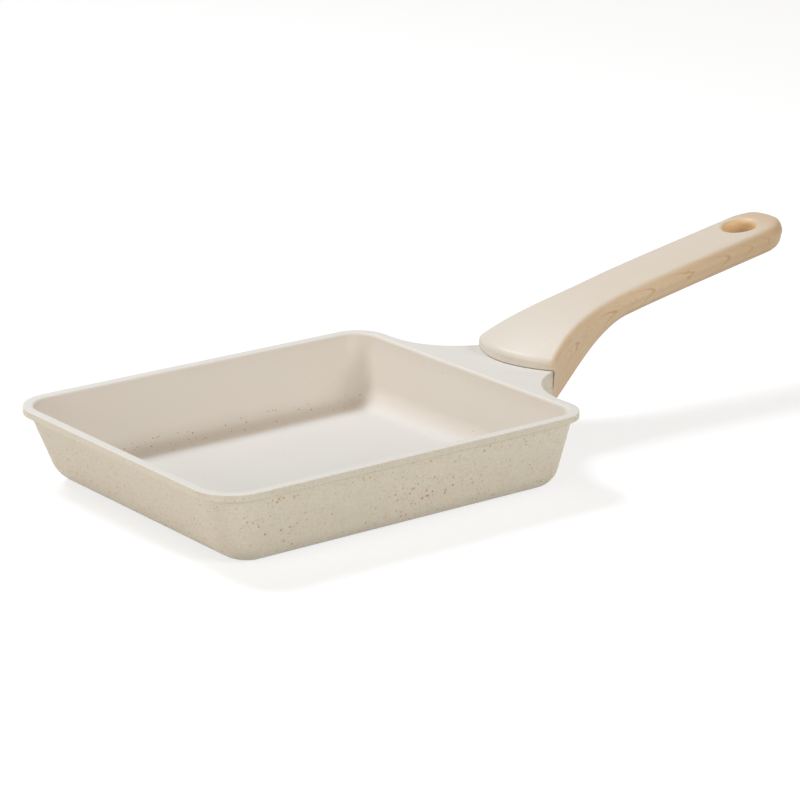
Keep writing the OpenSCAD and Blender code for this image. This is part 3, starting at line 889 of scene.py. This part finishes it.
def set_camera():
    a, e = radians(VIEW_AZIMUTH), radians(VIEW_ELEVATION)
    back = Vector((sin(a) * cos(e), -cos(a) * cos(e), sin(e)))
    right = Vector((cos(a), sin(a), 0))
    up = back.cross(right)
    place = back * VIEW_DISTANCE + right * VIEW_RIGHT + up * VIEW_UP + Vector((VIEW_SHIFT_X, 0, 0))
    camera = bpy.data.objects.new("camera", bpy.data.cameras.new("camera"))
    camera.data.lens = LENS
    camera.data.sensor_width = SENSOR_WIDTH
    camera.data.clip_end = CLIP_END * MM
    camera.location = place * MM
    camera.rotation_euler = Matrix((right, up, back)).transposed().to_euler()
    bpy.context.scene.collection.objects.link(camera)
    bpy.context.scene.camera = camera


def camera_rays(tree):
    """1 for rays that see the backdrop directly, in a gloss or through glass."""
    path = tree.nodes.new("ShaderNodeLightPath")
    total = path.outputs["Is Camera Ray"]
    for name in ("Is Glossy Ray", "Is Transmission Ray"):
        node = tree.nodes.new("ShaderNodeMath")
        node.operation = "MAXIMUM"
        tree.links.new(total, node.inputs[0])
        tree.links.new(path.outputs[name], node.inputs[1])
        total = node.outputs[0]
    return total


def set_world(strength, colour):
    world = bpy.data.worlds.new("studio")
    bpy.context.scene.world = world
    world.use_nodes = True
    tree = world.node_tree
    light = tree.nodes["Background"]
    light.inputs["Color"].default_value = (*colour, 1)
    light.inputs["Strength"].default_value = strength
    white = tree.nodes.new("ShaderNodeBackground")
    white.inputs["Color"].default_value = (1, 1, 1, 1)
    mix = tree.nodes.new("ShaderNodeMixShader")
    tree.links.new(camera_rays(tree), mix.inputs[0])
    tree.links.new(light.outputs[0], mix.inputs[1])
    tree.links.new(white.outputs[0], mix.inputs[2])
    tree.links.new(mix.outputs[0], tree.nodes["World Output"].inputs["Surface"])


def diffuse(tree, grey):
    node = tree.nodes.new("ShaderNodeBsdfDiffuse")
    node.inputs["Color"].default_value = (grey, grey, grey, 1)
    return node


def floor_material():
    """White with a soft shadow to the camera and in glosses, and plain pale grey to other rays."""
    material = bpy.data.materials.new("floor")
    material.use_nodes = True
    tree = material.node_tree
    tree.nodes.remove(tree.nodes["Principled BSDF"])
    plain = diffuse(tree, FLOOR_BOUNCE)
    dim = diffuse(tree, FLOOR_GREY)
    glow = tree.nodes.new("ShaderNodeEmission")
    glow.inputs["Strength"].default_value = FLOOR_GLOW
    seen = tree.nodes.new("ShaderNodeAddShader")
    tree.links.new(dim.outputs[0], seen.inputs[0])
    tree.links.new(glow.outputs[0], seen.inputs[1])
    mix = tree.nodes.new("ShaderNodeMixShader")
    tree.links.new(camera_rays(tree), mix.inputs[0])
    tree.links.new(plain.outputs[0], mix.inputs[1])
    tree.links.new(seen.outputs[0], mix.inputs[2])
    tree.links.new(mix.outputs[0], tree.nodes["Material Output"].inputs["Surface"])
    return material


def add_floor():
    signs = [(-1, -1), (1, -1), (1, 1), (-1, 1)]
    corners = [(FLOOR_HALF * x, FLOOR_HALF * y, -FLOOR_DROP) for x, y in signs]
    floor = new_object("floor", corners, [(0, 1, 2, 3)])
    floor.data.materials.append(floor_material())


def add_lamp(name, azimuth, elevation, distance, size, level, colour):
    """Square soft lamp aimed at the part's middle, with azimuth 0 at -Y and 90 at +X.

    A white surface that faces it gets the brightness level from it, where 1 is white.
    """
    a, e = radians(azimuth), radians(elevation)
    towards = Vector((sin(a) * cos(e), -cos(a) * cos(e), sin(e)))
    data = bpy.data.lights.new(name, "AREA")
    data.size = size * MM
    data.energy = level * (pi * distance * MM) ** 2
    data.color = colour
    lamp = bpy.data.objects.new(name, data)
    lamp.location = (Vector(LAMP_AIM) + towards * distance) * MM
    lamp.rotation_euler = towards.to_track_quat("Z", "Y").to_euler()
    bpy.context.scene.collection.objects.link(lamp)


def set_lights():
    set_world(0.21, (1.17, 1.0, 0.77))
    add_lamp("key", -160, 57, 1600, 450, 0.745, (0.94, 0.99, 1.07))
    add_lamp("fill_near", 12, 22, 1800, 600, 0.516, (0.99, 1.0, 1.01))
    add_lamp("fill_front", -84, 14, 1800, 700, 0.37, (1.03, 1.0, 0.98))


def dress_steel():
    """Gives the base plate, the washers and the screw their looks; their shapes are the solids' own."""
    plate = steel_material("rolled_steel", srgb(198, 197, 194), (1, 0.05, 1), 0.5, 0.3, 0.45)
    washers = steel_material("plated_steel", srgb(200, 199, 196), (1, 1, 1), 0.8, 0.25, 0.4)
    screw = steel_material("plated_screw", srgb(206, 205, 202), (1, 1, 1), 0.5, 0.22, 0.34)
    looks = {
        "induction_plate": plate,
        "flat_washer": washers,
        "spring_washer": washers,
        "handle_screw": screw,
    }
    for node, material in looks.items():
        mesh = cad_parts[node].data
        mesh.materials.clear()
        mesh.materials.append(material)


def dress():
    """Gives every piece its material and its place in the frame."""
    body = make_pan_body()
    handle = make_handle()
    handle.data.materials.clear()
    handle.data.materials.append(wood_material())
    for piece, node, slot in ((body, "pan_body", "coated_casting"), (handle, "handle", "wood_look_handle")):
        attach(piece, "root")
        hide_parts(node)
    dress_steel()


bpy.context.scene.view_settings.view_transform = "Standard"
set_camera()
set_lights()
add_floor()
dress()
